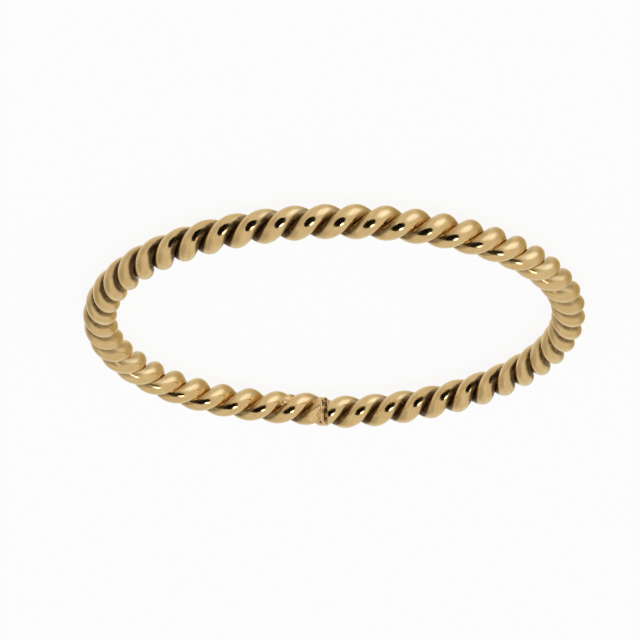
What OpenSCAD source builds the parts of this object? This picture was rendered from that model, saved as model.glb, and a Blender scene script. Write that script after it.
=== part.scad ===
// Rope twist ring. Two round wires are twisted left-handed round each other, so tightly that
// they press flats into each other. The rope is bent into a ring, and its cut ends are butted
// and soldered.
// Millimetres, +Z up. The ring lies flat with its lowest point at z = 0 and the middle of
// the finger hole on the Z axis.

/* [Band] */
// Inside diameter, where the finger goes
inner_d = 16.9; // [14:0.1:23]
// Place of the soldered seam round the ring, in degrees from +X towards +Y
seam_angle = 87.26; // [0:0.01:360]
// Height of the slight wave that hand bending leaves in the band
band_wave = 0.05; // [0:0.002:0.1]
// How much lower the rope's end lies than its start where they meet at the seam
end_drop = 0.125; // [0:0.005:0.2]
// Length of the stretch over which the rope's end sinks, in degrees round the ring
end_reach = 46; // [10:1:90]

/* [Wires] */
// Diameter of each round wire
wire_d = 0.73; // [0.4:0.01:1.2]
// How deep the tight twist presses the two wires into each other
wire_bed = 0.145; // [0:0.005:0.25]
// Clear gap between the wires' flats, where they are pressed together
wire_gap = 0.03; // [0.02:0.005:0.06]
// Length of rope in which a wire goes once round, in wire diameters
lay_ratio = 3.241; // [3:0.001:6]
// Twist of the first wire where it leaves the seam, in degrees from straight outwards
seam_twist = 117.4; // [0:0.1:360]

/* [Solder joint] */
// Length of the solder between the cut ends, along the rope
joint_length = 0.3; // [0.15:0.01:0.8]
// Clear gap between the solder and each cut end
joint_gap = 0.02; // [0.01:0.005:0.05]
// How far the solder stays below the rope's own width
joint_inset = 0.03; // [0:0.01:0.1]
// How far the solder swells out at the middle of its length
joint_swell = 0.03; // [0:0.01:0.1]

/* [Facets] */
// Corners of each wire's section, the two edges of its flat among them
wire_sides = 12; // [8:1:14]
// Sections of a wire in one turn of its twist
turn_sections = 13; // [8:1:14]
// Sides of the solder joint
joint_sides = 20; // [12:1:32]

/* [Hidden] */
// The wires' axes run on a small circle round the rope's axis
twist_r = (wire_d - wire_bed) / 2;
rope_r = twist_r + wire_d / 2;
ring_r = inner_d / 2 + rope_r;
ring_length = 2 * PI * ring_r;

// The lay sets how many turns fit on the ring, and how steeply the wires cross the rope
lay_length = lay_ratio * wire_d;
turns = ring_length / lay_length;
lay_angle = atan(2 * PI * twist_r / lay_length);

// Hand twisting leaves the lay a little tighter on one side of the ring than on the other.
// Columns: waves round the ring, sine part and cosine part in degrees of twist.
WAVES = 0;
SINE = 1;
COSINE = 2;
twist_drift = [
    [1, -29.5, 16.5],
    [2, 9.4, 4.3],
    [3, 1.7, -1.9],
    [4, 1.2, -1.7],
];

// Each wire starts and ends clear of the solder
cut_share = (joint_length / 2 + joint_gap) / ring_length;
sections = ceil(turns * turn_sections);
joint_sections = 6;

// The rope's axis is this high where the band is lowest, apart from the sunken end. It keeps
// the end off the floor too.
rope_z = rope_r + max(0, end_drop - wave(1));

function total(list) = list * [for (v = list) 1];
function unit(v) = v / norm(v);
function blend(a, b, share) = a + (b - a) * share;

// Directions and places at a share of one lap of the ring, counted from the seam
function outward(share) = [cos(seam_angle + 360 * share), sin(seam_angle + 360 * share), 0];
function along(share) = [-sin(seam_angle + 360 * share), cos(seam_angle + 360 * share), 0];
function wave(share) = band_wave * (1 - cos(2 * (seam_angle + 360 * share)));
function drop(share) = end_drop * (1 + cos(180 * min(1, (1 - share) * 360 / end_reach))) / 2;
function in_rope(share, out, up) =
    outward(share) * (ring_r + out) + [0, 0, rope_z + wave(share) - drop(share) + up];

// Twist of the first wire, in degrees from straight outwards towards straight up
function twist(share) = seam_twist + 360 * turns * share + total([
    for (w = twist_drift)
        w[SINE] * sin(360 * w[WAVES] * share) + w[COSINE] * (1 - cos(360 * w[WAVES] * share))
]);

// Corner of a round wire's section square to the rope, which cuts the wire at a slant. The
// angle counts round the wire from the rope's outside, and x points away from the rope's axis.
function slant_corner(angle) =
    let (
        out = twist_r + wire_d / 2 * cos(angle),
        side = wire_d / 2 * sin(angle) * cos(lay_angle),
        turn = 360 * wire_d / 2 * sin(angle) * sin(lay_angle) / lay_length
    ) [out * cos(turn) - side * sin(turn), out * sin(turn) + side * cos(turn)];

// The flat where the wires meet is half the gap from the rope's axis. This is the angle of
// its two edges, and the section runs round the wire from one edge to the other.
flat_angle = lookup(wire_gap / 2, [for (angle = [180:-1:0]) [slant_corner(angle).x, angle]]);
section_corners = [
    for (i = [0:wire_sides - 1])
        slant_corner(blend(flat_angle, -flat_angle, i / (wire_sides - 1)))
];

function wire_section(share, start) =
    let (turn = twist(share) + start) [
        for (corner = section_corners)
            in_rope(share, corner.x * cos(turn) - corner.y * sin(turn),
                    corner.x * sin(turn) + corner.y * cos(turn))
    ];

// The solder fills an oval round both wires. It turns from the twist of one pair of cut
// ends to the twist of the other, the short way, and swells at the middle of its length.
joint_long = rope_r - joint_inset;
joint_short = wire_d / cos(lay_angle) / 2;
end_twist = twist(1 - cut_share);
misfit = (twist(cut_share) - end_twist) % 180;
joint_turn = misfit > 90 ? misfit - 180 : misfit < -90 ? misfit + 180 : misfit;

function joint_section(step) =
    let (
        part = step / joint_sections,
        place = (part - 0.5) * joint_length / ring_length,
        swell = joint_swell * sin(180 * part),
        turn = end_twist + joint_turn * part
    ) [
        for (i = [0:joint_sides - 1])
            let (
                angle = 360 * i / joint_sides,
                long = (joint_long + swell) * cos(angle),
                short = (joint_short + swell) * sin(angle)
            ) in_rope(place, long * cos(turn) + short * sin(turn),
                      long * sin(turn) - short * cos(turn) - end_drop * (1 - part))
    ];

// Closed skin over a row of sections that all have the same number of corners. On the wires'
// flats, the side from the last corner to the first, the four-cornered faces split the other
// way, so that both flats stay on their own side of the twisted surface between them.
module skin(rows, last_side_flat = false) {
    n = len(rows[0]);
    last = (len(rows) - 1) * n;
    polyhedron(
        points = [for (row = rows) each row],
        faces = concat(
            [[for (i = [0:n - 1]) i]],
            [
                for (r = [0:n:last - n], i = [0:n - 1])
                    let (j = (i + 1) % n)
                    each last_side_flat && j == 0
                        ? [[r + i, r + n + i, r + j], [r + j, r + n + i, r + n + j]]
                        : [[r + i, r + n + i, r + n + j], [r + i, r + n + j, r + j]]
            ],
            [[for (i = [n - 1:-1:0]) last + i]]
        )
    );
}

module wire(start) {
    skin([
        for (i = [0:sections])
            wire_section(blend(cut_share, 1 - cut_share, i / sections), start)
    ], last_side_flat = true);
}

module wire_a() {
    color("goldenrod") wire(0);
}

module wire_b() {
    color("darkgoldenrod") wire(180);
}

module solder_joint() {
    color("wheat") skin([for (step = [0:joint_sections]) joint_section(step)]);
}

wire_a();
wire_b();
solder_joint();
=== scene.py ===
"""Rope twist ring: two round gold wires twisted left-handed into a rope, bent into a ring
and soldered where the cut ends meet. The ring lies flat on a white table."""

import math

import bmesh
import bpy
from mathutils import Matrix, Vector, noise


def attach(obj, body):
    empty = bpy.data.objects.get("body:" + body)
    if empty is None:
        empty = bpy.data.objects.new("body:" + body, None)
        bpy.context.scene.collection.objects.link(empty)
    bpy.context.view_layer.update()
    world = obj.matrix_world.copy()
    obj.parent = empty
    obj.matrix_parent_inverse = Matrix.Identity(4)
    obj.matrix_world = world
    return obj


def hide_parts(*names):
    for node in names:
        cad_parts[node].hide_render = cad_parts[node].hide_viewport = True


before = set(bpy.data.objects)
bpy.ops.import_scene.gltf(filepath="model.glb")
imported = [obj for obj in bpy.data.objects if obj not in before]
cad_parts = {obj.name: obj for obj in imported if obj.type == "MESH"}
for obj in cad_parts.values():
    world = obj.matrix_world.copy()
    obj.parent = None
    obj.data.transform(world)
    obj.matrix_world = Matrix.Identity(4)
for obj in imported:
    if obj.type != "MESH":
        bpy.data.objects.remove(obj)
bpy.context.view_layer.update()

MM = 0.001

# The band, as in the part's source
INNER_RADIUS = 16.9 * MM / 2
SEAM_ANGLE = math.radians(87.26)
BAND_WAVE = 0.05 * MM
END_DROP = 0.125 * MM
END_REACH = math.radians(46)
WIRE_DIAMETER = 0.73 * MM
WIRE_BED = 0.145 * MM
LAY_RATIO = 3.241
SEAM_TWIST = math.radians(117.4)
JOINT_LENGTH = 0.3 * MM

# Waves round the ring, sine part and cosine part of the drift in the twist, in degrees
TWIST_DRIFT = ((1, -29.5, 16.5), (2, 9.4, 4.3), (3, 1.7, -1.9), (4, 1.2, -1.7))

WIRE_RADIUS = WIRE_DIAMETER / 2
TWIST_RADIUS = (WIRE_DIAMETER - WIRE_BED) / 2
ROPE_RADIUS = TWIST_RADIUS + WIRE_RADIUS
RING_RADIUS = INNER_RADIUS + ROPE_RADIUS
RING_LENGTH = 2 * math.pi * RING_RADIUS
TURNS = RING_LENGTH / (LAY_RATIO * WIRE_DIAMETER)
# The rope is raised by this much, so that its sunken end stays off the floor
FLOOR_GAP = max(0, END_DROP - BAND_WAVE * (1 - math.cos(2 * SEAM_ANGLE)))


class Number:
    """A number in a node tree, so that a formula can be written as one."""

    def __init__(self, tree, socket):
        self.tree = tree
        self.socket = socket

    def math(self, operation, *others):
        inputs = dict(enumerate((self, *others)))
        node = put(self.tree, "ShaderNodeMath", inputs, operation=operation)
        return Number(self.tree, node.outputs[0])

    def __add__(self, other):
        return self.math("ADD", other)

    def __sub__(self, other):
        return self.math("SUBTRACT", other)

    def __mul__(self, other):
        return self.math("MULTIPLY", other)

    def __truediv__(self, other):
        return self.math("DIVIDE", other)

    def sin(self):
        return self.math("SINE")

    def cos(self):
        return self.math("COSINE")

    def ramp(self, zero_at, one_at):
        """0 at one limit and beyond it, 1 at the other, and smooth between."""
        node = put(
            self.tree, "ShaderNodeMapRange",
            {0: self, 1: zero_at, 2: one_at, 3: 0.0, 4: 1.0},
            interpolation_type="SMOOTHSTEP",
        )
        return Number(self.tree, node.outputs[0])


class Arrow:
    """A vector in a node tree."""

    def __init__(self, tree, socket):
        self.tree = tree
        self.socket = socket

    def math(self, operation, *others):
        inputs = dict(enumerate((self, *others)))
        return put(self.tree, "ShaderNodeVectorMath", inputs, operation=operation)

    def __add__(self, other):
        return Arrow(self.tree, self.math("ADD", other).outputs[0])

    def __sub__(self, other):
        return Arrow(self.tree, self.math("SUBTRACT", other).outputs[0])

    def times(self, number):
        """The vector with its length times a number."""
        inputs = {0: self, "Scale": number}
        node = put(self.tree, "ShaderNodeVectorMath", inputs, operation="SCALE")
        return Arrow(self.tree, node.outputs[0])

    def stretched(self, factors):
        """The vector with its x, y and z each times its own factor."""
        return Arrow(self.tree, self.math("MULTIPLY", factors).outputs[0])

    def dot(self, other):
        return Number(self.tree, self.math("DOT_PRODUCT", other).outputs["Value"])

    def cross(self, other):
        return Arrow(self.tree, self.math("CROSS_PRODUCT", other).outputs[0])

    def unit(self):
        return Arrow(self.tree, self.math("NORMALIZE").outputs[0])


def put(tree, kind, values=None, **settings):
    """Adds a node, sets its settings, and sets or links each of its inputs in values."""
    node = tree.nodes.new(kind)
    for name, value in settings.items():
        setattr(node, name, value)
    for place, value in (values or {}).items():
        if isinstance(value, (Number, Arrow)):
            value = value.socket
        if isinstance(value, bpy.types.NodeSocket):
            tree.links.new(value, node.inputs[place])
        else:
            node.inputs[place].default_value = value
    return node


def joined(tree, x, y, z):
    """A vector from its x, y and z."""
    return Arrow(tree, put(tree, "ShaderNodeCombineXYZ", {0: x, 1: y, 2: z}).outputs[0])


def new_tree(name, sizes):
    """A geometry node tree with a named input for each size, a material and a mesh out."""
    tree = bpy.data.node_groups.new(name, "GeometryNodeTree")
    kinds = {float: "NodeSocketFloat", int: "NodeSocketInt"}
    for label, value in sizes.items():
        tree.interface.new_socket(label, in_out="INPUT", socket_type=kinds[type(value)])
    tree.interface.new_socket("Metal", in_out="INPUT", socket_type="NodeSocketMaterial")
    tree.interface.new_socket("Mesh", in_out="OUTPUT", socket_type="NodeSocketGeometry")
    inlet = tree.nodes.new("NodeGroupInput")
    inputs = {label: Number(tree, inlet.outputs[label]) for label in [*sizes, "Metal"]}
    return tree, inputs


def grown(name, tree, sizes, metal):
    """Runs a geometry node tree with these sizes and keeps the result as a plain mesh."""
    carrier = bpy.data.objects.new(name, bpy.data.meshes.new(name + "_seed"))
    bpy.context.scene.collection.objects.link(carrier)
    modifier = carrier.modifiers.new("growth", "NODES")
    modifier.node_group = tree
    values = {**sizes, "Metal": metal}
    for item in tree.interface.items_tree:
        if item.in_out == "INPUT":
            modifier[item.identifier] = values[item.name]
    bpy.context.view_layer.update()
    evaluated = carrier.evaluated_get(bpy.context.evaluated_depsgraph_get())
    mesh = bpy.data.meshes.new_from_object(evaluated)
    carrier.modifiers.clear()
    carrier.data = mesh
    mesh.name = name
    return carrier


WIRE_SIZES = {
    "Ring radius": RING_RADIUS,
    "Rope radius": ROPE_RADIUS,
    "Wire radius": WIRE_RADIUS,
    "Twist radius": TWIST_RADIUS,
    "Bed clearance": 0.003 * MM,
    "Band wave": BAND_WAVE,
    "End drop": END_DROP,
    "End reach": END_REACH,
    "Floor gap": FLOOR_GAP,
    "Turns": TURNS,
    "Seam angle": SEAM_ANGLE,
    "Seam twist": SEAM_TWIST,
    "Start turn": 0.0,
    "Run past the seam": 0.45 * MM,
    "Ripple height": 0.006 * MM,
    "Ripple length": 0.9 * MM,
    "Sections": 2200,
    "Sides": 36,
}


def kept(tree, geometry, name, value, kind):
    """Stores a value on each point under a name."""
    node = put(
        tree, "GeometryNodeStoreNamedAttribute",
        {"Geometry": geometry, "Name": name, "Value": value},
        data_type=kind, domain="POINT",
    )
    return node.outputs[0]


def recalled(tree, name, kind):
    """The value that was stored on each point under a name."""
    node = put(tree, "GeometryNodeInputNamedAttribute", {"Name": name}, data_type=kind)
    wrap = Arrow if kind == "FLOAT_VECTOR" else Number
    return wrap(tree, node.outputs["Attribute"])


def wire_path(tree, size):
    """The points of a wire's own axis. Each keeps its share of one lap, the rope's axis and
    the rope's direction there."""
    index = Number(tree, put(tree, "GeometryNodeInputIndex").outputs[0])
    run_past = size["Run past the seam"] / (size["Ring radius"] * (2 * math.pi))
    lap = (index / size["Sections"]) * (run_past * 2 + 1.0) - run_past

    turned = lap * (2 * math.pi)
    twist = turned * size["Turns"] + size["Seam twist"] + size["Start turn"]
    for waves, sine, cosine in TWIST_DRIFT:
        swing = turned * waves
        twist = twist + swing.sin() * math.radians(sine)
        twist = twist - (swing.cos() - 1.0) * math.radians(cosine)

    angle = turned + size["Seam angle"]
    wave = size["Band wave"] * ((angle * 2.0).cos() * -1.0 + 1.0)
    left = ((lap * -1.0 + 1.0) * (2 * math.pi) / size["End reach"]).math("MINIMUM", 1.0)
    drop = size["End drop"] * ((left * math.pi).cos() * 0.5 + 0.5)
    height = size["Rope radius"] + size["Floor gap"] + wave - drop
    outward = joined(tree, angle.cos(), angle.sin(), 0.0)
    along = joined(tree, angle.sin() * -1.0, angle.cos(), 0.0)
    axis = outward.times(size["Ring radius"]) + joined(tree, 0.0, 0.0, height)
    across = outward.times(twist.cos()) + joined(tree, 0.0, 0.0, twist.sin())
    place = axis + across.times(size["Twist radius"])

    row = put(tree, "GeometryNodeMeshLine", {"Count": size["Sections"] + 1})
    path = row.outputs[0]
    path = kept(tree, path, "lap", lap, "FLOAT")
    path = kept(tree, path, "twist", twist, "FLOAT")
    path = kept(tree, path, "axis", axis, "FLOAT_VECTOR")
    path = kept(tree, path, "along", along, "FLOAT_VECTOR")
    path = kept(tree, path, "core", place, "FLOAT_VECTOR")
    return put(tree, "GeometryNodeSetPosition", {"Geometry": path, "Position": place}).outputs[0]


def round_tube(tree, size):
    """A round wire all along its path. Each point keeps the path's own direction."""
    curve = put(tree, "GeometryNodeMeshToCurve", {"Mesh": wire_path(tree, size)}).outputs[0]
    heading = put(tree, "GeometryNodeInputTangent").outputs[0]
    curve = kept(tree, curve, "heading", heading, "FLOAT_VECTOR")
    ring = put(
        tree, "GeometryNodeCurvePrimitiveCircle",
        {"Resolution": size["Sides"], "Radius": size["Wire radius"]},
    )
    tube = put(
        tree, "GeometryNodeCurveToMesh",
        {"Curve": curve, "Profile Curve": ring.outputs[0], "Fill Caps": True},
    )
    return tube.outputs[0]


def moved(tree, geometry, offset):
    """The geometry with each of its points moved by an offset."""
    node = put(tree, "GeometryNodeSetPosition", {"Geometry": geometry, "Offset": offset})
    return node.outputs[0]


def beside_rope(tree):
    """A spot, its way from the rope's axis, and how far it lies ahead of its own section."""
    spot = Arrow(tree, put(tree, "GeometryNodeInputPosition").outputs[0])
    beside = spot - recalled(tree, "axis", "FLOAT_VECTOR")
    ahead = recalled(tree, "along", "FLOAT_VECTOR").dot(beside)
    return spot, beside, ahead


def pressed_flat(tree, size, tube):
    """The wires are pressed into each other, so each has a flat that winds along with it."""
    spot, beside, ahead = beside_rope(tree)
    pace = size["Turns"] / size["Ring radius"]
    here = recalled(tree, "twist", "FLOAT") + ahead * pace
    outward = spot.stretched((1, 1, 0)).unit()
    away = outward.times(here.cos()) + joined(tree, 0.0, 0.0, here.sin())
    push = (size["Bed clearance"] - away.dot(beside)).math("MAXIMUM", 0.0)
    return moved(tree, tube, away.times(push))


def marked_skin(tree, size, tube):
    """Keeps on each point what the shader needs: its distance from the rope's axis as a share
    of the rope's radius, the way that the skin faces, and the place on the skin, which is
    cosine and sine of the angle round the wire and the way along it."""
    spot, beside, ahead = beside_rope(tree)
    crest = (beside.dot(beside) - ahead * ahead).math("SQRT") / size["Rope radius"]
    core = recalled(tree, "core", "FLOAT_VECTOR")
    skin = (spot - core).unit()
    away = (core - recalled(tree, "axis", "FLOAT_VECTOR")).unit()
    course = recalled(tree, "heading", "FLOAT_VECTOR")
    length = recalled(tree, "lap", "FLOAT") * RING_LENGTH / size["Wire radius"]
    grain = joined(tree, away.dot(skin), course.cross(away).dot(skin), length)
    tube = kept(tree, tube, "crest", crest, "FLOAT")
    tube = kept(tree, tube, "skin", skin, "FLOAT_VECTOR")
    return kept(tree, tube, "grain", grain, "FLOAT_VECTOR")


def rippled(tree, size, tube):
    """Hand twisting leaves the wire's skin a little uneven."""
    spot = Arrow(tree, put(tree, "GeometryNodeInputPosition").outputs[0])
    ripple = put(tree, "ShaderNodeTexNoise", {
        "Vector": spot, "Scale": size["Ripple length"].math("POWER", -1.0),
        "Detail": 2.0, "Roughness": 0.45,
    })
    rise = (Number(tree, ripple.outputs[0]) - 0.5) * size["Ripple height"] * 2.0
    return moved(tree, tube, recalled(tree, "skin", "FLOAT_VECTOR").times(rise))


def twisted_wire_tree():
    """A round wire that runs once round the ring while it winds round the rope's own axis."""
    tree, size = new_tree("twisted_wire", WIRE_SIZES)
    tube = round_tube(tree, size)
    tube = pressed_flat(tree, size, tube)
    tube = marked_skin(tree, size, tube)
    tube = rippled(tree, size, tube)
    smooth = put(tree, "GeometryNodeSetShadeSmooth", {"Geometry": tube})
    real = put(tree, "GeometryNodeRealizeInstances", {"Geometry": smooth.outputs[0]})
    clad = put(
        tree, "GeometryNodeSetMaterial",
        {"Geometry": real.outputs[0], "Material": size["Metal"]},
    )
    put(tree, "NodeGroupOutput", {0: clad.outputs[0]})
    return tree


def rope_frame(ahead):
    """The rope's axis this far past the seam, and the outward direction there."""
    angle = SEAM_ANGLE + ahead / RING_RADIUS
    wave = BAND_WAVE * (1 - math.cos(2 * angle))
    if abs(ahead) < JOINT_LENGTH / 2:
        drop = END_DROP * (0.5 - ahead / JOINT_LENGTH)
    else:
        left = 2 * math.pi - ahead / RING_RADIUS if ahead > 0 else -ahead / RING_RADIUS
        drop = END_DROP * (1 + math.cos(math.pi * min(1, left / END_REACH))) / 2
    outward = Vector((math.cos(angle), math.sin(angle), 0))
    axis = outward * RING_RADIUS + Vector((0, 0, ROPE_RADIUS + FLOOR_GAP + wave - drop))
    return axis, outward


def round_rope(outward, section):
    """The direction away from the rope's axis, this far from outwards towards upwards."""
    return outward * math.cos(section) + Vector((0, 0, math.sin(section)))


def hump(value, middle, half_width):
    """1 in the middle, 0 from the half width on, and smooth between."""
    share = min(1, abs(value - middle) / half_width)
    return (1 - share * share) ** 2


def step(value, low, high):
    """0 up to the low value, 1 from the high one on, and smooth between."""
    share = min(1, max(0, (value - low) / (high - low)))
    return share * share * (3 - 2 * share)


def stretch(value, begin, full, fade, end):
    """0 up to the beginning, 1 from where it is full to where it fades, 0 from the end on."""
    return step(value, begin, full) * step(-value, -end, -fade)


# How far from the seam the rope's start and its end are cut. Only this share of a lap
# beside each of them is looked at.
START_CUT = 0.10 * MM
END_CUT = 0.17 * MM
SAWN_SHARE = 0.05


def cut_at_seam(wire):
    """Saws both ends of a wire off square to the rope, inside the solder."""
    shell = bmesh.new()
    shell.from_mesh(wire.data)
    lap = shell.verts.layers.float["lap"]
    for end, side, gap in ((0, 1, START_CUT), (1, -1, END_CUT)):
        corners = [v for v in shell.verts if abs(v[lap] - end) < SAWN_SHARE]
        near = set(corners)
        edges = [edge for edge in shell.edges if near.issuperset(edge.verts)]
        faces = [face for face in shell.faces if near.issuperset(face.verts)]
        angle = SEAM_ANGLE + side * gap / RING_RADIUS
        spot = Vector((math.cos(angle), math.sin(angle), 0)) * RING_RADIUS
        keep_way = Vector((-math.sin(angle), math.cos(angle), 0)) * side
        cut = bmesh.ops.bisect_plane(
            shell, geom=[*corners, *edges, *faces], plane_co=spot, plane_no=keep_way,
            clear_inner=True,
        )
        rim = [part for part in cut["geom_cut"] if isinstance(part, bmesh.types.BMEdge)]
        bmesh.ops.edgeloop_fill(shell, edges=rim)
    shell.to_mesh(wire.data)
    shell.free()


# The way from the rope's axis to the filed flat, from outwards towards upwards, and its depth
FILED_WAY = math.radians(138)
FILED_DEPTH = 0.12 * MM
# The groove on the strand's far side: how far past the seam it crosses 122 degrees of the
# rope's section, and how fast it turns round the rope from there
FILED_GROOVE = -1.09 * MM
FILED_GROOVE_SECTION = math.radians(122)
FILED_GROOVE_PITCH = math.radians(91.4) / MM
# No spot further back than this is filed. The flat sets in over the first of these
# distances from the groove, and its marks over the second ones from the rope's axis.
FILED_REACH = FILED_GROOVE * 1.5
FLAT_SETS_IN = (0.05 * MM, 0.30 * MM)
MARKS_SET_IN = (0.35 * MM, 0.50 * MM)


def file_beside_seam(wire):
    """Flattens the strand beside the seam, where the solder was filed off."""
    mesh = wire.data
    filed = mesh.attributes.new("filed", "FLOAT", "POINT")
    for vertex in mesh.vertices:
        turned = math.atan2(vertex.co.y, vertex.co.x) - SEAM_ANGLE
        ahead = turned * RING_RADIUS
        if not FILED_REACH < ahead < 0:
            continue
        axis, outward = rope_frame(ahead)
        beside = vertex.co - axis
        section = math.atan2(beside.z, beside.dot(outward)) % (2 * math.pi)
        groove = FILED_GROOVE + (section - FILED_GROOVE_SECTION) / FILED_GROOVE_PITCH
        share = step(ahead - groove, *FLAT_SETS_IN)
        way = round_rope(outward, FILED_WAY)
        towards = beside.dot(way)
        excess = towards - ROPE_RADIUS + FILED_DEPTH * share
        if excess > 0:
            vertex.co -= way * excess
        filed.data[vertex.index].value = share * step(towards, *MARKS_SET_IN)


def shaped_mesh(name, places, faces, tarnish_and_painted_light, metal):
    """A closed smooth piece from its corners and faces, with its tarnish at each corner, and on
    the solder plug painted shade and a painted highlight too.
    """
    mesh = bpy.data.meshes.new(name)
    mesh.from_pydata(places, [], faces)
    shell = bmesh.new()
    shell.from_mesh(mesh)
    bmesh.ops.recalc_face_normals(shell, faces=shell.faces)
    shell.to_mesh(mesh)
    shell.free()
    mesh.shade_smooth()
    mesh.attributes.new("tarnish_and_painted_light", "FLOAT", "POINT").data.foreach_set("value", tarnish_and_painted_light)
    mesh.materials.append(metal)
    piece = bpy.data.objects.new(name, mesh)
    bpy.context.scene.collection.objects.link(piece)
    return piece


# The solder plug from end to end past the seam, and its radius. It sags downwards in the
# photo, which is this many degrees round the rope from outwards towards upwards. Most of
# the sag is lost over these millimetres past the seam, and both of its ends taper.
PLUG_FROM = -0.50 * MM
PLUG_TO = 0.22 * MM
PLUG_RADIUS = 0.58 * MM
PLUG_SAG = 0.09 * MM
PLUG_SAG_WAY = 66
SAG_LOST = 0.85
SAG_FADES = (-0.12, 0.12)
TAPER = 0.25
START_TAPERS = (0.12, 0.22)
END_TAPERS = (0.15, 0.45)

# The plug's relief, as read off the photo in millimetres past the seam and in degrees round
# the rope. A line has a middle and a half width. A stretch has four places: where it begins,
# where it is full, where it fades and where it ends. All of it is shifted along the rope
# and wavers a little, and its roughness has this many lumps round and along the rope.
RIDGE_LINE = (-0.125, 0.065)
RIDGE_STRETCH = (100, 125, 212, 222)
RIDGE_HEIGHT = 0.05
SLIT_LINE = (-0.055, 0.035)
SLIT_STRETCH = (170, 180, 200, 210)
SLIT_DEPTH = 0.13
BURNT_ACROSS = (-0.03, 0.0, 0.11, 0.14)
BURNT_STRETCH = (92, 112, 222, 235)
BURNT_DEPTH = 0.035
PIT_ALONG = (-0.14, 0.06)
PIT_ROUND = (101, 11)
PIT_DEPTH = 0.07
BEAD_ALONG = (-0.01, 0.06)
BEAD_ROUND = (93, 9)
BEAD_HEIGHT = 0.03
RELIEF_SHIFT = 0.045
RELIEF_WAVER = 0.012
WAVER_ROUND = 4
ROUGH_ROUND = 5
ROUGH_AHEAD = 9
PLAIN_ROUGHNESS = 0.008
BURNT_ROUGHNESS = 0.03
PLAIN_TARNISH = 0.12
BURNT_TARNISH = 0.6
BURNT_MOTTLE = 0.8


def plug_forms(ahead, section):
    """How much of the ridge, the slit, the burnt band, the pit and the bead is here."""
    ridge = hump(ahead, *RIDGE_LINE) * stretch(section, *RIDGE_STRETCH)
    slit = hump(ahead, *SLIT_LINE) * stretch(section, *SLIT_STRETCH)
    burnt = stretch(ahead, *BURNT_ACROSS) * stretch(section, *BURNT_STRETCH)
    pit = hump(ahead, *PIT_ALONG) * hump(section, *PIT_ROUND)
    bead = hump(ahead, *BEAD_ALONG) * hump(section, *BEAD_ROUND)
    return ridge, slit, burnt, pit, bead


def plug_skin(ahead, section):
    """Radius and darkness of the solder plug, this many millimetres past the seam and degrees
    round the rope. The darkness is tarnish and burning, with painted shade in the slit and the
    pit, and it is below 0 on the ridge and the bead, which are painted pale as a painted highlight."""
    around_way = Vector((0, math.cos(math.radians(section)), math.sin(math.radians(section))))
    rough_spot = around_way * ROUGH_ROUND + Vector((ahead * ROUGH_AHEAD, 0, 0))
    rough = noise.fractal(rough_spot, 1.0, 2.0, 4)
    ahead += RELIEF_SHIFT + RELIEF_WAVER * noise.noise(around_way * WAVER_ROUND)
    sag = PLUG_SAG / MM * (1 - SAG_LOST * step(ahead, *SAG_FADES))
    radius = PLUG_RADIUS / MM + sag * math.cos(math.radians(section - PLUG_SAG_WAY))
    radius *= 1 - TAPER * step(ahead, *START_TAPERS) - TAPER * step(-ahead, *END_TAPERS)
    ridge, slit, burnt, pit, bead = plug_forms(ahead, section)
    radius += RIDGE_HEIGHT * ridge + BEAD_HEIGHT * bead
    radius -= SLIT_DEPTH * slit + BURNT_DEPTH * burnt + PIT_DEPTH * pit
    radius += rough * (PLAIN_ROUGHNESS + BURNT_ROUGHNESS * burnt)
    # The slit and the pit are painted dark as painted shade. The burnt band and the rest are
    # tarnish.
    tarnish_and_painted_light = slit + pit + burnt * (BURNT_TARNISH + BURNT_MOTTLE * rough) + PLAIN_TARNISH
    dark = max(0, min(1, tarnish_and_painted_light)) * (1 - ridge) * (1 - bead)
    # Below 0 on the ridge and the bead, which paints them pale as a painted highlight
    return radius * MM, dark - ridge - bead


def solder_plug(metal):
    """The solder between the cut ends, with a ridge and a bead painted pale as a painted
    highlight, a slit and a pit painted dark as painted shade, and a rough burnt band."""
    rows = 100
    sides = 144
    places = []
    tarnish_and_painted_light = []
    for row in range(rows + 1):
        ahead = PLUG_FROM + (PLUG_TO - PLUG_FROM) * row / rows
        axis, outward = rope_frame(ahead)
        for side in range(sides):
            section = side * 360 / sides
            radius, dark = plug_skin(ahead / MM, section)
            places.append(axis + round_rope(outward, math.radians(section)) * radius)
            tarnish_and_painted_light.append(dark)
    faces = [tuple(range(sides)), tuple(range(rows * sides, (rows + 1) * sides))]
    for row in range(rows):
        for side in range(sides):
            beside = (side + 1) % sides
            low = row * sides
            high = low + sides
            faces.append((low + side, low + beside, high + beside, high + side))
    return shaped_mesh("seam_solder", places, faces, tarnish_and_painted_light, metal)


# The spilt lump: its middle past the seam and round the rope, how far that is from the
# rope's axis, the slant of its long side, its half sizes along, across and outwards, and
# how lumpy and how tarnished it is
SPILL_AHEAD = -1.60 * MM
SPILL_SECTION = math.radians(208)
SPILL_OUT = 0.40 * MM
SPILL_SLANT = math.radians(37)
SPILL_HALF = (0.43 * MM, 0.20 * MM, 0.20 * MM)
SPILL_LUMPS = 2.4
SPILL_ROUGHNESS = 0.13
SPILL_TARNISH = 0.15
SPILL_MOTTLE = 0.5


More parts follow.
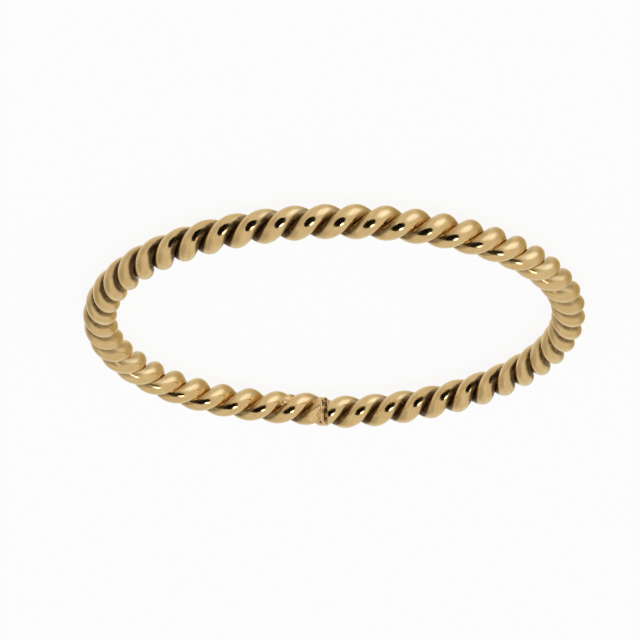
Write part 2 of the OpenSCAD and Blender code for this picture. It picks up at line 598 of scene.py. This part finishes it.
def solder_spill(metal):
    """A rough lump of solder that ran into a groove beside the seam."""
    axis, outward = rope_frame(SPILL_AHEAD)
    onward = Vector((-outward.y, outward.x, 0))
    away = round_rope(outward, SPILL_SECTION)
    around_way = round_rope(outward, SPILL_SECTION + math.pi / 2)
    long_way = onward * math.cos(SPILL_SLANT) + around_way * math.sin(SPILL_SLANT)
    wide_way = around_way * math.cos(SPILL_SLANT) - onward * math.sin(SPILL_SLANT)
    ball = bmesh.new()
    bmesh.ops.create_icosphere(ball, subdivisions=5, radius=1)
    places = []
    tarnish_and_painted_light = []
    for vertex in ball.verts:
        rough = noise.fractal(vertex.co * SPILL_LUMPS, 1.0, 2.0, 4)
        spot = vertex.co * (1 + SPILL_ROUGHNESS * rough)
        long_part = long_way * spot.x * SPILL_HALF[0]
        wide_part = wide_way * spot.y * SPILL_HALF[1]
        out_part = away * (SPILL_OUT + spot.z * SPILL_HALF[2])
        places.append(axis + out_part + long_part + wide_part)
        tarnish_and_painted_light.append(min(1, max(0, SPILL_TARNISH - rough * SPILL_MOTTLE)))
    faces = [tuple(corner.index for corner in face.verts) for face in ball.faces]
    ball.free()
    return shaped_mesh("seam_spill", places, faces, tarnish_and_painted_light, metal)


def surface_noise(tree, spot, spacing, detail):
    """A soft random number from 0 to 1 that changes over this spacing."""
    node = put(tree, "ShaderNodeTexNoise", {
        "Vector": spot, "Scale": 1.0 / spacing, "Detail": detail, "Roughness": 0.5,
    })
    return Number(tree, node.outputs[0])


def mixed(tree, share, first, second):
    """A colour between the first and the second."""
    node = put(
        tree, "ShaderNodeMix", {"Factor": share, "A": first, "B": second},
        data_type="RGBA", clamp_factor=True,
    )
    return node.outputs["Result"]


def metal_tree(name):
    """A new metal with its node tree, its shader and the Object coordinates."""
    metal = bpy.data.materials.new(name)
    metal.use_nodes = True
    tree = metal.node_tree
    shader = tree.nodes["Principled BSDF"]
    shader.inputs["Metallic"].default_value = 1.0
    spot = Arrow(tree, put(tree, "ShaderNodeTexCoord").outputs["Object"])
    return metal, tree, shader, spot


GOLD = (0.98, 0.71, 0.345, 1)
RED_GOLD = (0.86, 0.57, 0.24, 1)
# Dark brown of the grooves: tarnish, with painted shade
GROOVE_TARNISH_AND_SHADE = (0.12, 0.068, 0.028, 1)
SOLDER = (0.90, 0.60, 0.25, 1)
# Paler solder on the ridge and the bead is a painted highlight. The darkest colour is burnt solder,
# and painted shade in the slit and the pit.
SOLDER_PAINTED_HIGHLIGHT = (1.0, 0.80, 0.46, 1)
BURNT_AND_PAINTED_SHADE = (0.10, 0.052, 0.024, 1)

# Tarnish with painted shade lies in the grooves, up to this share of the rope's radius, and
# fades over the next one. Its edge is uneven, and as painted shade it reaches further on
# flanks facing +x.
GROOVE_DARK_REACH = 0.725
GROOVE_DARK_FADE = 0.14
GROOVE_DARK_UNEVEN = 0.12
SHADE_SIDE_REACH = 0.024
# How dark it is: on every flank, and as painted shade by the way that a flank faces, on
# flanks facing +x, and on the other flanks of two opposite quarters of the band
LEAST_GROOVE_DARK = 0.25
SHADE_SIDE = (1, 0, 0)
FACING_SHADE = (0.06, -0.37, 0.35)
SHADE_SIDE_EXTRA = 0.47
QUARTER_SHADE = 0.7
SPECKLE = 0.3

# Distances over which the patterns change, and how the lines of the drawing die and of the
# file are drawn out
UNEVEN_SPACING = 0.8 * MM
SPECK_SPACING = 0.16 * MM
MOTTLE_SPACING = 0.35 * MM
FILE_SPACING = 0.05 * MM
GRIT_SPACING = 0.10 * MM
DRAWN_STRETCH = (5.0, 5.0, 0.12)
FILE_STRETCH = (1.0, 0.1, 0.1)

# How much of the redder tone comes from mottling and how much from the drawing lines
MOTTLE_TONE = 0.4
DRAWN_TONE = 0.6
# Roughness of both metals, and what lines, the grooves' tarnish and painted shade, the file,
# the solder's dark parts and grit add to it
WIRE_ROUGH = 0.09
DRAWN_ROUGH = 0.08
GROOVE_DARK_ROUGH = 0.25
FILED_ROUGH = 0.35
SOLDER_ROUGH = 0.24
SOLDER_DARK_ROUGH = 0.25
GRIT_ROUGH = 0.1
# Depth of the lines and the grit, how much deeper the file cuts, and how far grit spreads
# the solder's tarnish
LINE_DEPTH = 0.006 * MM
GRIT_DEPTH = 0.01 * MM
FILE_CUT = 5.0
GRIT_TARNISH = 0.4


def stored(tree, name):
    """A number that the mesh keeps under this name."""
    return Number(tree, put(tree, "ShaderNodeAttribute", attribute_name=name).outputs["Fac"])


def stored_arrow(tree, name):
    """A vector that the mesh keeps under this name."""
    return Arrow(tree, put(tree, "ShaderNodeAttribute", attribute_name=name).outputs["Vector"])


def relief(tree, shader, height, depth):
    """Gives a metal fine lines or grit that are this deep."""
    bump = put(tree, "ShaderNodeBump", {"Strength": 0.5, "Distance": depth, "Height": height})
    tree.links.new(bump.outputs[0], shader.inputs["Normal"])


def groove_tarnish_and_shade(tree, spot):
    """Tarnish with painted shade from the groove up to a share of the rope's radius. It is
    darker on flanks facing +x, by the way that a flank faces and in two quarters of the band,
    which is painted shade."""
    uneven = surface_noise(tree, spot, UNEVEN_SPACING, 3.0)
    # Painted shade: more on flanks facing +x, by the way a flank faces, and in two quarters
    skin = stored_arrow(tree, "skin")
    towards_shade_side = skin.dot(SHADE_SIDE)
    past = stored(tree, "crest") + (uneven - 0.5) * GROOVE_DARK_UNEVEN - towards_shade_side * SHADE_SIDE_REACH - GROOVE_DARK_REACH
    on_shade_side = towards_shade_side.math("MAXIMUM", 0.0)
    darkness = skin.dot(FACING_SHADE) + on_shade_side * on_shade_side * SHADE_SIDE_EXTRA + LEAST_GROOVE_DARK
    quarters = spot.dot((1 / RING_RADIUS, 0, 0)) * spot.dot((0, -1 / RING_RADIUS, 0))
    darkness = darkness + quarters * (on_shade_side * -QUARTER_SHADE + QUARTER_SHADE)
    tarnish_and_shade = past.ramp(GROOVE_DARK_FADE, 0.0) * darkness.math("MAXIMUM", LEAST_GROOVE_DARK)
    speck = surface_noise(tree, spot, SPECK_SPACING, 3.0).ramp(0.25, 0.6)
    return (tarnish_and_shade * (speck * SPECKLE + (1.0 - SPECKLE / 2))).math("MINIMUM", 1.0)


def gold_wire():
    """Polished yellow gold with fine drawing lines, and tarnish with painted shade down in the
    grooves.
    """
    metal, tree, shader, spot = metal_tree("gold_wire")
    tarnish_and_shade = groove_tarnish_and_shade(tree, spot)
    grain = stored_arrow(tree, "grain").stretched(DRAWN_STRETCH)
    drawn = surface_noise(tree, grain, 1.0, 3.0)
    mottle = surface_noise(tree, spot, MOTTLE_SPACING, 4.0).ramp(0.35, 0.65)
    tone = mottle * MOTTLE_TONE + drawn.ramp(0.35, 0.65) * DRAWN_TONE
    # The grooves are painted dark: tarnish, with painted shade
    colour = mixed(tree, tarnish_and_shade, mixed(tree, tone, GOLD, RED_GOLD), GROOVE_TARNISH_AND_SHADE)
    tree.links.new(colour, shader.inputs["Base Color"])

    # Fine lines along the wire from the drawing die, and across it where it was filed
    filed = stored(tree, "filed")
    cuts = surface_noise(tree, spot.stretched(FILE_STRETCH), FILE_SPACING, 2.0)
    rough = drawn * DRAWN_ROUGH + WIRE_ROUGH + tarnish_and_shade * GROOVE_DARK_ROUGH + filed * FILED_ROUGH
    tree.links.new(rough.socket, shader.inputs["Roughness"])
    relief(tree, shader, drawn + (cuts - 0.5) * filed * FILE_CUT, LINE_DEPTH)
    return metal


def gold_solder():
    """Rough gold solder, a little duller than the wire, painted paler where it stands out as a
    painted highlight, burnt brown where it is tarnished, and painted dark in the slit and the
    pit as painted shade."""
    metal, tree, shader, spot = metal_tree("gold_solder")
    grit = surface_noise(tree, spot, GRIT_SPACING, 4.0)
    tarnish_and_painted_light = stored(tree, "tarnish_and_painted_light")
    dark = (tarnish_and_painted_light + (grit - 0.5) * GRIT_TARNISH).ramp(0.1, 0.9)
    # The ridge and the bead are painted pale as a highlight, and the slit and the pit dark as shade
    solder_with_painted_highlight = mixed(tree, tarnish_and_painted_light.ramp(-0.2, -0.9), SOLDER, SOLDER_PAINTED_HIGHLIGHT)
    tree.links.new(mixed(tree, dark, solder_with_painted_highlight, BURNT_AND_PAINTED_SHADE), shader.inputs["Base Color"])
    rough = dark * SOLDER_DARK_ROUGH + SOLDER_ROUGH + grit * GRIT_ROUGH
    tree.links.new(rough.socket, shader.inputs["Roughness"])
    relief(tree, shader, grit, GRIT_DEPTH)
    return metal


FLOOR_SIDE = 4
FLOOR_PAINT = (0.12, 0.12, 0.12, 1)
FLOOR_GLOW = 0.9


def white_floor():
    """A plain white table, lit from within so that it carries next to no shadow."""
    bpy.ops.mesh.primitive_plane_add(size=FLOOR_SIDE)
    floor = bpy.context.object
    floor.name = "floor"
    paint = bpy.data.materials.new("floor_white")
    paint.use_nodes = True
    shader = paint.node_tree.nodes["Principled BSDF"]
    shader.inputs["Base Color"].default_value = FLOOR_PAINT
    shader.inputs["Roughness"].default_value = 0.9
    shader.inputs["Specular IOR Level"].default_value = 0.0
    shader.inputs["Emission Color"].default_value = (1, 1, 1, 1)
    shader.inputs["Emission Strength"].default_value = FLOOR_GLOW
    floor.data.materials.append(paint)
    floor.visible_glossy = False
    floor.visible_shadow = False


# The camera stands at the photo's angle and distance. It is rolled half a turn and this
# much more. The lens and its sensor are in millimetres.
ELEVATION = math.radians(23.985)
DISTANCE = 21.295 * RING_RADIUS
ROLL = math.radians(-0.741)
LENS = 280.4
SENSOR = 36
# The photo's width and the place of the ring's centre in it, in pixels
PHOTO = 640
RING_PIXEL = (334.24, 319.64)


def camera_axes():
    """Right, up and backwards of the camera when it looks straight at the ring's centre."""
    right = Vector((-1, 0, 0))
    up = Vector((0, -math.sin(ELEVATION), -math.cos(ELEVATION)))
    back = Vector((0, -math.cos(ELEVATION), math.sin(ELEVATION)))
    turned_right = right * math.cos(ROLL) + up * math.sin(ROLL)
    turned_up = up * math.cos(ROLL) - right * math.sin(ROLL)
    return turned_right, turned_up, back


RING_CENTRE = Vector((0, 0, ROPE_RADIUS + FLOOR_GAP + BAND_WAVE))


def place_camera():
    """Puts the camera where it sees the ring's centre at the same pixel as the photo does."""
    data = bpy.data.cameras.new("camera")
    camera = bpy.data.objects.new("camera", data)
    bpy.context.scene.collection.objects.link(camera)
    data.lens = LENS
    data.sensor_width = SENSOR
    data.clip_start = 0.01
    data.clip_end = 10
    right, up, back = camera_axes()
    spot = RING_CENTRE + back * DISTANCE
    pixel = DISTANCE * SENSOR / LENS / PHOTO
    aside = (PHOTO / 2 - RING_PIXEL[0]) * pixel
    below = (RING_PIXEL[1] - PHOTO / 2) * pixel
    aim = RING_CENTRE + right * aside + up * below
    back = (spot - aim).normalized()
    right = up.cross(back).normalized()
    up = back.cross(right)
    turn = Matrix((right, up, back)).transposed()
    camera.matrix_world = Matrix.Translation(spot) @ turn.to_4x4()
    bpy.context.scene.camera = camera


def seen_in(across, upwards):
    """The way in which a strand's skin sees its surroundings, where the skin leans this
    much to the picture's right and top."""
    right, up, back = camera_axes()
    towards = math.sqrt(1 - across ** 2 - upwards ** 2)
    skin = right * across + up * upwards + back * towards
    return (skin * (2 * skin.dot(back)) - back).normalized()


def glowing(name, light):
    """A material that gives off this much white light and reflects none."""
    glow = bpy.data.materials.new(name)
    glow.use_nodes = True
    tree = glow.node_tree
    tree.nodes.clear()
    shine = put(tree, "ShaderNodeEmission", {"Color": (1, 1, 1, 1), "Strength": light})
    put(tree, "ShaderNodeOutputMaterial", {"Surface": shine.outputs[0]})
    return glow


def panel(name, way, half_width, half_height, distance, tilt, light):
    """An oval panel that only the gold sees, this way and this far from the ring. Its half
    sizes as seen from the ring and its tilt are in degrees."""
    bpy.ops.mesh.primitive_circle_add(vertices=64, radius=1, fill_type="NGON")
    disc = bpy.context.object
    disc.name = name
    right = camera_axes()[0]
    face = -way
    side = (right - face * right.dot(face)).normalized()
    side.rotate(Matrix.Rotation(math.radians(tilt), 3, face))
    top = face.cross(side)
    turn = Matrix((side, top, face)).transposed().to_4x4()
    size = Matrix.Diagonal((
        distance * math.tan(math.radians(half_width)),
        distance * math.tan(math.radians(half_height)), 1, 1,
    ))
    disc.data.transform(Matrix.Translation(RING_CENTRE + way * distance) @ turn @ size)
    disc.data.materials.append(glowing(name + "_glow", light))
    disc.visible_shadow = False
    disc.visible_camera = False
    disc.visible_diffuse = False


def around(polar, azimuth):
    """The way from the ring that lies this far round from the camera, in degrees, on the side
    of the picture that the azimuth names: 0 is its right, 90 its top."""
    right, up, back = camera_axes()
    side = right * math.cos(math.radians(azimuth)) + up * math.sin(math.radians(azimuth))
    return back * math.cos(math.radians(polar)) + side * math.sin(math.radians(polar))


BACKDROP = (0.98, 0.98, 0.98, 1)
CLOTH = (0.655, 0.655, 0.65)
# The tent's walls and its key light: how far round from the camera, on which side, how far
# out from its middle each is full and has faded, all in degrees, and how much red, green and
# blue it adds to the cloth's own
SOFT_LIGHTS = {
    "key": (67, 44, 3, 39, (0.44, 0.58, 0.88)),
    "dark left": (95, 212, 5, 42, (-0.22, -0.22, -0.22)),
    "dark upper left": (74, 153, 5, 42, (-0.14, -0.14, -0.14)),
    "dark right behind": (138, 20, 5, 52, (-0.20, -0.25, -0.38)),
    "pale wall above": (155, 115, 5, 45, (0.10, 0.14, 0.14)),
    "pale wall below": (145, 285, 5, 40, (0.05, 0.12, 0.18)),
    "pale wall behind": (175, 0, 5, 40, (0.08, 0.05, 0.0)),
}


def tent():
    """A white tent all round with a soft key and a few paler and darker walls, the dark lens
    in front and a small lamp beside it. The camera itself sees a plain white backdrop."""
    world = bpy.data.worlds.new("tent")
    bpy.context.scene.world = world
    world.use_nodes = True
    tree = world.node_tree
    way = Arrow(tree, put(tree, "ShaderNodeTexCoord").outputs["Generated"])
    light = joined(tree, *CLOTH)
    for polar, azimuth, full, faded, tint in SOFT_LIGHTS.values():
        near = way.dot(around(polar, azimuth))
        share = near.ramp(math.cos(math.radians(faded)), math.cos(math.radians(full)))
        light = light + joined(tree, *tint).times(share)
    seen = Number(tree, put(tree, "ShaderNodeLightPath").outputs["Is Camera Ray"])
    colour = mixed(tree, seen, light.socket, BACKDROP)
    tree.links.new(colour, tree.nodes["Background"].inputs["Color"])
    panel(
        "lens", seen_in(-0.02, -0.012), half_width=40, half_height=26, distance=0.20,
        tilt=50, light=0.0,
    )
    panel(
        "lamp", seen_in(0.185, -0.24), half_width=9, half_height=7, distance=0.19,
        tilt=35, light=5.0,
    )


bpy.context.scene.view_settings.view_transform = "Standard"
place_camera()
wire_tree = twisted_wire_tree()
wire_gold = gold_wire()
for node, start in (("wire_a", 0.0), ("wire_b", math.pi)):
    wire = grown("twisted_" + node, wire_tree, {**WIRE_SIZES, "Start turn": start}, wire_gold)
    cut_at_seam(wire)
    file_beside_seam(wire)
    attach(wire, "root")
    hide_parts(node)

solder = gold_solder()
plug = solder_plug(solder)
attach(plug, "root")
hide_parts("solder_joint")
spill = solder_spill(solder)
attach(spill, "root")

white_floor()
tent()
